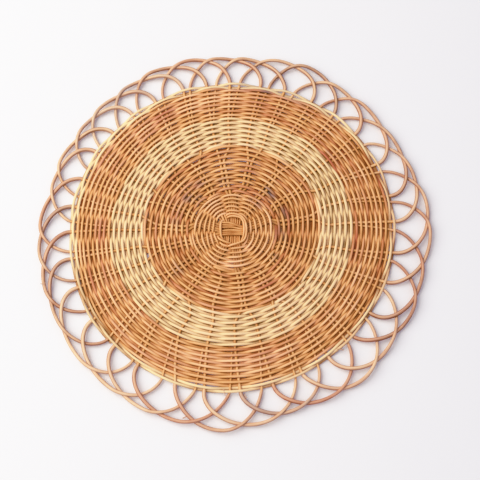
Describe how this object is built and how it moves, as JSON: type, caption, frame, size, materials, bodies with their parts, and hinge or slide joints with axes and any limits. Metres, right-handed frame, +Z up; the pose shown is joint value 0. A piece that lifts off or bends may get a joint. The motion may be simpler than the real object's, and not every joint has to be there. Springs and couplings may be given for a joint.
{
  "type": "rattan placemat",
  "caption": "Round woven rattan placemat: a flat disc of natural and bleached cane on crossed base rods, with an open border of interlaced loops.",
  "frame": {"origin": "on the table under the crossing of the base rods, on the mat's flat underside", "axes": "+Z up out of the mat's face; +Y away from the picture's viewer; +X to the viewer's right"},
  "size_m": [0.3782, 0.3803, 0.0072],
  "materials": {
    "natural_cane": "tan rattan core, satin, with a light varnish sheen and darker streaks",
    "bleached_cane": "pale bleached rattan core, satin",
    "rim_cane": "cream bleached rattan core, satin",
    "loop_cane": "brown-tan rattan rods, satin, uneven from rod to rod"
  },
  "bodies": {
    "root": {"base_rods_under": "natural_cane", "base_rods_over": "natural_cane", "weave_hub": "natural_cane", "weave_pairs": "natural_cane", "weave_bleached": "bleached_cane", "weave_outer": "natural_cane", "weave_rim": "rim_cane", "loop_01": "loop_cane", "loop_02": "loop_cane", "loop_03": "loop_cane", "loop_04": "loop_cane", "loop_05": "loop_cane", "loop_06": "loop_cane", "loop_07": "loop_cane", "loop_08": "loop_cane", "loop_09": "loop_cane", "loop_10": "loop_cane", "loop_11": "loop_cane", "loop_12": "loop_cane", "loop_13": "loop_cane", "loop_14": "loop_cane", "loop_15": "loop_cane", "loop_16": "loop_cane", "loop_17": "loop_cane", "loop_18": "loop_cane", "loop_19": "loop_cane", "loop_20": "loop_cane", "loop_21": "loop_cane", "loop_22": "loop_cane", "loop_23": "loop_cane", "loop_24": "loop_cane", "loop_25": "loop_cane", "loop_26": "loop_cane", "loop_27": "loop_cane", "loop_28": "loop_cane", "loop_29": "loop_cane", "loop_30": "loop_cane", "loop_31": "loop_cane", "loop_32": "loop_cane", "loop_33": "loop_cane"}
  },
  "joints": []
}
